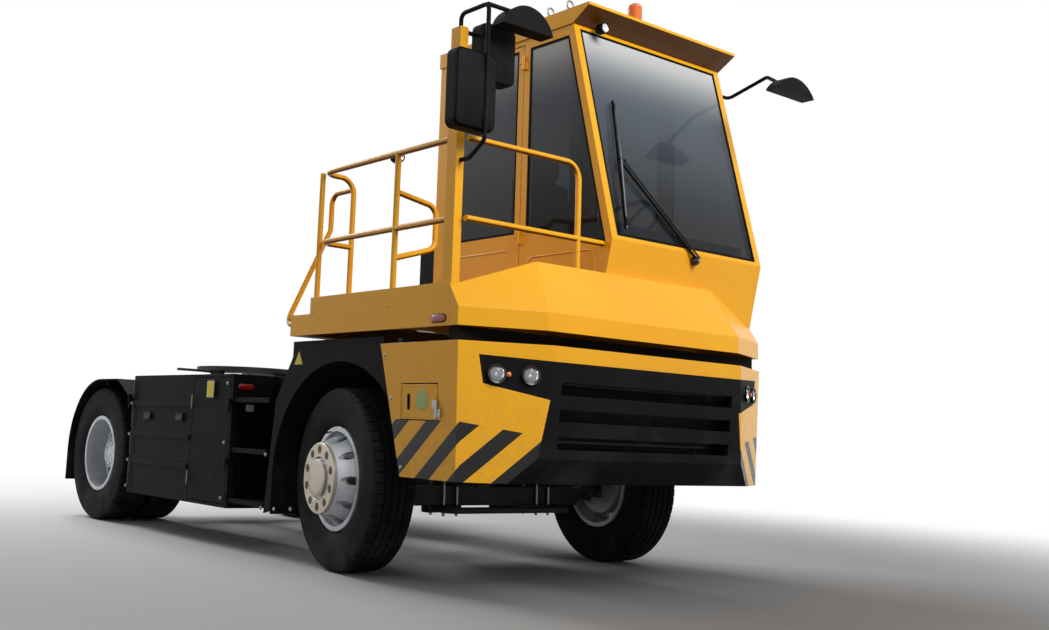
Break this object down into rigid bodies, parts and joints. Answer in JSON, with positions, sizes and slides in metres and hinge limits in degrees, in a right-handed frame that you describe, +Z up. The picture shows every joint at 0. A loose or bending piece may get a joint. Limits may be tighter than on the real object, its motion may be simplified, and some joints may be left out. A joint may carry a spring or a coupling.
{
  "type": "terminal tractor",
  "caption": "Yard tractor with an offset glazed cab, a side platform with handrails, a lifting fifth wheel, a side locker and twin rear tyres.",
  "frame": {"origin": "on the ground, under the middle of the overall box", "axes": "+Z up, the vehicle faces -Y, +X is its left side"},
  "size_m": [2.8, 5.46, 3.605],
  "materials": {
    "body_paint": "warm amber gloss paint",
    "frame_paint": "graphite chassis paint",
    "tyre_rubber": "matt tyre rubber",
    "wheel_paint": "silver wheel paint",
    "window_glass": "clear, lightly tinted",
    "cast_metal": "dark painted casting",
    "dark_plastic": "fine grained",
    "lamp_lens": "clear lamp lens",
    "red_lens": "red lamp lens",
    "amber_lens": "amber lamp lens",
    "seat_fabric": "woven dark cloth",
    "bright_steel": "worn bright steel"
  },
  "bodies": {
    "vehicle": {"beacon": "amber_lens", "cab_glass": "window_glass", "cab_roof": "body_paint", "cab_shell": "body_paint", "chassis_frame": "frame_paint", "dashboard": "dark_plastic", "engine_block": "cast_metal", "fascia": "body_paint", "front_axle": "cast_metal", "front_springs": "cast_metal", "fuel_tank": "frame_paint", "grille": "dark_plastic", "handrails": "body_paint", "headlamps": "lamp_lens", "hood": "body_paint", "mirror_left": "dark_plastic", "mirror_post": "body_paint", "mirror_right": "dark_plastic", "platform": "body_paint", "propshaft": "cast_metal", "radiator": "frame_paint", "rear_axle": "cast_metal", "rear_box": "frame_paint", "rear_mudguards": "dark_plastic", "seat": "seat_fabric", "seat_base": "dark_plastic", "side_box": "frame_paint", "side_markers": "red_lens", "steps_right": "frame_paint", "tail_lamps": "red_lens", "wheel_arches": "dark_plastic", "wiper": "dark_plastic", "work_lamps": "lamp_lens"},
    "knuckle_right": {"knuckle_right": "cast_metal"},
    "knuckle_left": {"knuckle_left": "cast_metal"},
    "tie_rod": {"tie_rod": "cast_metal"},
    "front_wheel_right": {"front_tyre_right": "tyre_rubber", "front_rim_right": "wheel_paint"},
    "front_wheel_left": {"front_tyre_left": "tyre_rubber", "front_rim_left": "wheel_paint"},
    "rear_wheels_right": {"rear_tyres_right": "tyre_rubber", "rear_rims_right": "wheel_paint"},
    "rear_wheels_left": {"rear_tyres_left": "tyre_rubber", "rear_rims_left": "wheel_paint"},
    "steering_wheel": {"steering_wheel": "dark_plastic"},
    "door_right": {"door_right": "body_paint", "door_right_glass": "window_glass"},
    "access_door": {"access_door": "body_paint"},
    "side_box_door": {"side_box_door": "frame_paint"},
    "lift_boom": {"lift_boom": "frame_paint"},
    "fifth_wheel_plate": {"fifth_wheel_plate": "cast_metal"},
    "lift_barrels": {"lift_barrels": "frame_paint"},
    "lift_rods": {"lift_rods": "bright_steel"}
  },
  "joints": [
    {"name": "steer_right", "type": "hinge", "parent": "vehicle", "child": "knuckle_right", "pos_m": [-0.89, -1.31, 0.53], "axis": [0, 0, 1], "range_deg": [-26.9, 43.1]},
    {"name": "steer_left", "type": "hinge", "parent": "vehicle", "child": "knuckle_left", "pos_m": [0.89, -1.31, 0.53], "axis": [0, 0, 1], "range_deg": [-26.9, 43.1]},
    {"name": "tie_rod_pivot", "type": "hinge", "parent": "knuckle_right", "child": "tie_rod", "pos_m": [-0.86605, -1.1417, 0.4], "axis": [0, 0, 1], "range_deg": [-43.1, 26.9]},
    {"name": "front_spin_right", "type": "hinge", "parent": "knuckle_right", "child": "front_wheel_right", "pos_m": [-1.06325, -1.28534, 0.53], "axis": [0.99, -0.1409, 0], "continuous": true},
    {"name": "front_spin_left", "type": "hinge", "parent": "knuckle_left", "child": "front_wheel_left", "pos_m": [1.06325, -1.33466, 0.53], "axis": [0.99, -0.1409, 0], "continuous": true},
    {"name": "rear_spin_right", "type": "hinge", "parent": "vehicle", "child": "rear_wheels_right", "pos_m": [-0.921, 2.157, 0.53], "axis": [1, 0, 0], "continuous": true},
    {"name": "rear_spin_left", "type": "hinge", "parent": "vehicle", "child": "rear_wheels_left", "pos_m": [0.921, 2.157, 0.53], "axis": [1, 0, 0], "continuous": true},
    {"name": "steering_wheel_turn", "type": "hinge", "parent": "vehicle", "child": "steering_wheel", "pos_m": [0.56, -1.9, 2.2], "axis": [0, 0.5736, 0.8192], "range_deg": [-484.7, 776.3]},
    {"name": "door_right_hinge", "type": "hinge", "parent": "vehicle", "child": "door_right", "pos_m": [-0.1573, -1.661, 2.4], "axis": [0, 0, 1], "range_deg": [0, 85]},
    {"name": "access_door_hinge", "type": "hinge", "parent": "vehicle", "child": "access_door", "pos_m": [-1.24898, -2.263, 0.98], "axis": [0, 0, 1], "range_deg": [0, 100]},
    {"name": "side_box_door_hinge", "type": "hinge", "parent": "vehicle", "child": "side_box_door", "pos_m": [-1.2293, -0.031, 0.7], "axis": [0, 0, 1], "range_deg": [0, 100]},
    {"name": "boom_lift", "type": "hinge", "parent": "vehicle", "child": "lift_boom", "pos_m": [0, 0.17, 0.905], "axis": [1, 0, 0], "range_deg": [0, 15]},
    {"name": "plate_tilt", "type": "hinge", "parent": "lift_boom", "child": "fifth_wheel_plate", "pos_m": [0, 1.88, 1.19], "axis": [1, 0, 0], "range_deg": [-12, 12]},
    {"name": "lift_barrel_pivot", "type": "hinge", "parent": "vehicle", "child": "lift_barrels", "pos_m": [0, 1.14, 0.7], "axis": [1, 0, 0], "range_deg": [0, 26.3]},
    {"name": "lift_rod_slide", "type": "slide", "parent": "lift_barrels", "child": "lift_rods", "axis": [0, 0.7568, 0.6536], "range_m": [0, 0.2391]}
  ],
  "couplings": [
    {"joint": "steer_left", "follows": "steer_right", "ratio": 1},
    {"joint": "tie_rod_pivot", "follows": "steer_right", "ratio": -1},
    {"joint": "steering_wheel_turn", "follows": "steer_right", "ratio": 18},
    {"joint": "lift_barrel_pivot", "follows": "boom_lift", "ratio": 1.7333},
    {"joint": "lift_rod_slide", "follows": "boom_lift", "m_per_rad": 0.90552}
  ]
}
